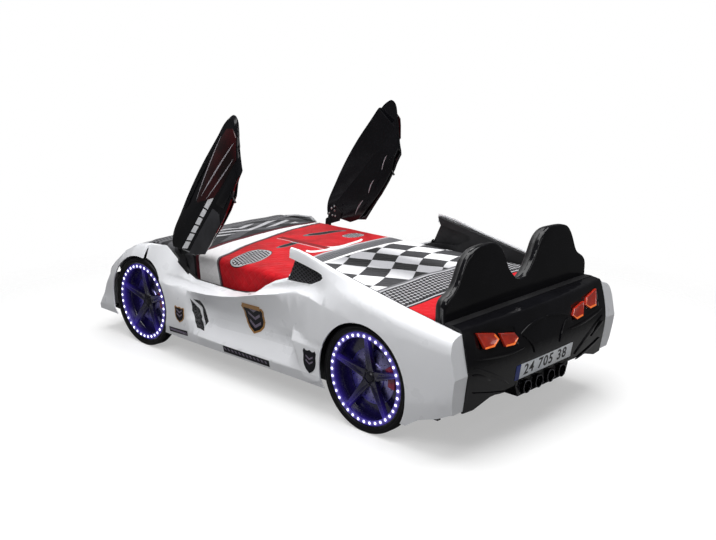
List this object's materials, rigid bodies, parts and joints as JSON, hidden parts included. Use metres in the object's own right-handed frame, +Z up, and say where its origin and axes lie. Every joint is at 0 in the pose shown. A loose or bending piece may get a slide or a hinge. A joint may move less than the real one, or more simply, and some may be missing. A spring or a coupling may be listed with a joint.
{
  "type": "children's race-car bed",
  "caption": "Child's bed shaped as a race car: moulded sides with wheels, slatted mattress platform, two-hump headboard and two upward-swinging doors.",
  "frame": {"origin": "on the floor, under the middle of the body's length and width", "axes": "+X to the nose, +Y to the car's left, +Z up"},
  "size_m": [2.457, 1.1402, 1.2121],
  "materials": {
    "badge": "printed badge",
    "black_board": "black coated board",
    "box_grey": "moulded plastic",
    "caliper_red": "red",
    "cap_dark": "dark cap",
    "disc_steel": "disc",
    "door_black": "glossy black",
    "door_window": "smoked window",
    "exhaust_metal": "dark chrome",
    "gloss_black": "glossy black",
    "headboard_black": "glossy lacquered board",
    "headlight": "clear lens",
    "mattress_cloth": "ticking",
    "mesh_black": "black mesh",
    "pad_leather": "black imitation leather",
    "plate_white": "white plate",
    "rim_violet": "blue-violet gloss",
    "ring_light": "lit ring",
    "slat_wood": "planed wood",
    "spread_cloth": "printed cotton",
    "steel": "zinc-plated",
    "tail_lamp": "red lens",
    "tyre": "tyre",
    "white_shell": "glossy white moulded plastic"
  },
  "bodies": {
    "bed": {"beam_feet": "box_grey", "bedspread": "spread_cloth", "brake_calipers": "caliper_red", "centre_beam": "black_board", "control_box": "box_grey", "corner_brackets": "steel", "door_catches": "steel", "exhaust_tips": "exhaust_metal", "frame_screws": "steel", "front_board": "black_board", "front_grille": "mesh_black", "front_left_brake_disc": "disc_steel", "front_left_light_ring": "ring_light", "front_left_rim": "rim_violet", "front_left_tyre": "tyre", "front_right_brake_disc": "disc_steel", "front_right_light_ring": "ring_light", "front_right_rim": "rim_violet", "front_right_tyre": "tyre", "front_shell": "white_shell", "front_splitter": "gloss_black", "headboard_board": "headboard_black", "headboard_pad": "pad_leather", "headlight_lenses": "headlight", "hinge_brackets": "steel", "left_side_board": "black_board", "left_side_shell": "white_shell", "mattress": "mattress_cloth", "number_plate": "plate_white", "quarter_window_meshes": "mesh_black", "rear_deck": "gloss_black", "rear_diffuser": "gloss_black", "rear_left_brake_disc": "disc_steel", "rear_left_light_ring": "ring_light", "rear_left_rim": "rim_violet", "rear_left_tyre": "tyre", "rear_panel": "gloss_black", "rear_right_brake_disc": "disc_steel", "rear_right_light_ring": "ring_light", "rear_right_rim": "rim_violet", "rear_right_tyre": "tyre", "right_side_board": "black_board", "right_side_shell": "white_shell", "side_badges": "badge", "side_vent_meshes": "mesh_black", "slat_rails": "slat_wood", "slats": "slat_wood", "tail_lamp_lenses": "tail_lamp", "wheel_centre_caps": "cap_dark"},
    "left_door": {"left_door_hinge_arm": "steel", "left_door_inner_panel": "door_black", "left_door_peg": "steel", "left_door_shell": "door_black", "left_door_window": "door_window"},
    "right_door": {"right_door_hinge_arm": "steel", "right_door_inner_panel": "door_black", "right_door_peg": "steel", "right_door_shell": "door_black", "right_door_window": "door_window"}
  },
  "joints": [
    {"name": "left_door_hinge", "type": "hinge", "parent": "bed", "child": "left_door", "pos_m": [0.5285, 0.5, 0.525], "axis": [0, 1, 0], "range_deg": [-45.5, 0]},
    {"name": "right_door_hinge", "type": "hinge", "parent": "bed", "child": "right_door", "pos_m": [0.5285, -0.5, 0.525], "axis": [0, 1, 0], "range_deg": [-45.5, 0]}
  ]
}
